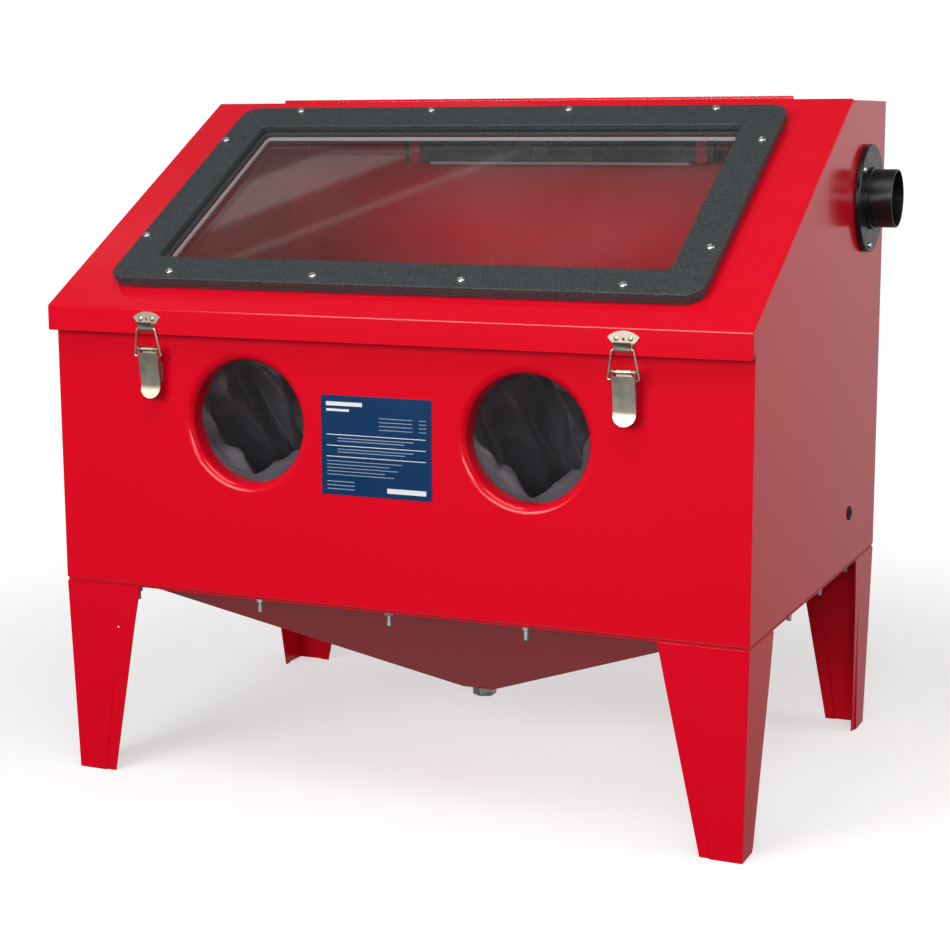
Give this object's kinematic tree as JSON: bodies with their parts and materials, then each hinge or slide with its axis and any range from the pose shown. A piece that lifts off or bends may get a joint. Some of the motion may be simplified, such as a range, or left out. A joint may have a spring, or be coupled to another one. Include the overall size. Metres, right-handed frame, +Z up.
{
  "type": "sandblast cabinet",
  "caption": "Free-standing sandblast cabinet with a hinged window lid, toggle latches, arm holes with sleeves, a media hopper and an exhaust port on folded legs.",
  "frame": {"origin": "on the floor, under the centre of the whole object's bounding box", "axes": "+Z up; +X towards the exhaust port, which is on the operator's right; the operator stands on the -Y side, in front of the arm holes"},
  "size_m": [0.8748, 0.581, 0.793],
  "materials": {
    "red_paint": "smooth gloss powder coat",
    "black_textured": "fine textured dark grey powder coat",
    "black_plastic": "black moulded plastic",
    "rubber": "black rubber and foam",
    "fabric": "dark grey coated nylon",
    "glass": "clear glass",
    "zinc_plate": "zinc or nickel plated spring steel",
    "bare_steel": "plain steel",
    "label_blue": "printed plate with plain bars and no lettering",
    "lamp_lens": "milky lamp diffuser"
  },
  "bodies": {
    "cabinet": {"exhaust_port": "black_plastic", "front_left_leg": "red_paint", "front_panel": "red_paint", "front_right_leg": "red_paint", "gun_body": "bare_steel", "gun_hook": "zinc_plate", "gun_nozzle": "bare_steel", "hinge_body_leaf": "red_paint", "hinge_pin": "bare_steel", "hopper": "red_paint", "hopper_gasket": "rubber", "inlet_grommet": "rubber", "label_plate": "label_blue", "lamp_housing": "black_plastic", "lamp_lens": "lamp_lens", "left_floor_rail": "bare_steel", "left_glove": "rubber", "left_lamp_bracket": "red_paint", "left_latch_base": "zinc_plate", "left_latch_pin": "zinc_plate", "left_side_panel": "red_paint", "left_sleeve": "fabric", "left_sleeve_clamp": "zinc_plate", "outlet_socket": "bare_steel", "pickup_tube": "bare_steel", "port_gasket": "rubber", "port_screw_1": "zinc_plate", "port_screw_2": "zinc_plate", "port_screw_3": "zinc_plate", "rear_left_leg": "red_paint", "rear_panel": "red_paint", "rear_right_leg": "red_paint", "right_floor_rail": "bare_steel", "right_glove": "rubber", "right_lamp_bracket": "red_paint", "right_latch_base": "zinc_plate", "right_latch_pin": "zinc_plate", "right_side_panel": "red_paint", "right_sleeve": "fabric", "right_sleeve_clamp": "zinc_plate", "top_panel": "red_paint", "trigger_pin": "bare_steel", "work_floor": "bare_steel"},
    "lid": {"lid": "red_paint", "lid_seal": "rubber", "glass_seal": "rubber", "window_frame": "black_textured", "window_frame_base": "black_textured", "window_glass": "glass", "glass_retainer": "red_paint", "hinge_lid_leaf": "red_paint", "left_latch_keeper": "zinc_plate", "right_latch_keeper": "zinc_plate"},
    "left_lever": {"left_latch_lever": "zinc_plate"},
    "right_lever": {"right_latch_lever": "zinc_plate"},
    "left_bail": {"left_latch_bail": "zinc_plate"},
    "right_bail": {"right_latch_bail": "zinc_plate"},
    "trigger": {"gun_trigger": "black_plastic"},
    "plug": {"drain_plug": "bare_steel", "plug_washer": "rubber"}
  },
  "joints": [
    {"name": "lid_hinge", "type": "hinge", "parent": "cabinet", "child": "lid", "pos_m": [-0.01765, 0.11667, 0.79], "axis": [-1, 0, 0], "range_deg": [0, 100]},
    {"name": "left_latch_lever", "type": "hinge", "parent": "cabinet", "child": "left_lever", "pos_m": [-0.30195, -0.28185, 0.513], "axis": [-1, 0, 0], "range_deg": [0, 135]},
    {"name": "left_latch_bail", "type": "hinge", "parent": "lid", "child": "left_bail", "pos_m": [-0.30195, -0.28565, 0.5365], "axis": [-1, 0, 0], "range_deg": [0, 100]},
    {"name": "right_latch_lever", "type": "hinge", "parent": "cabinet", "child": "right_lever", "pos_m": [0.26665, -0.28185, 0.513], "axis": [-1, 0, 0], "range_deg": [0, 135]},
    {"name": "right_latch_bail", "type": "hinge", "parent": "lid", "child": "right_bail", "pos_m": [0.26665, -0.28565, 0.5365], "axis": [-1, 0, 0], "range_deg": [0, 100]},
    {"name": "gun_trigger", "type": "hinge", "parent": "cabinet", "child": "trigger", "pos_m": [0.35305, -0.12955, 0.383], "axis": [1, 0, 0], "range_deg": [0, 15], "stiffness_Nm_per_rad": 0.05, "springref_deg": -5.73},
    {"name": "drain_plug", "type": "slide", "parent": "cabinet", "child": "plug", "axis": [0, 0, -1], "range_m": [0, 0.04]}
  ]
}
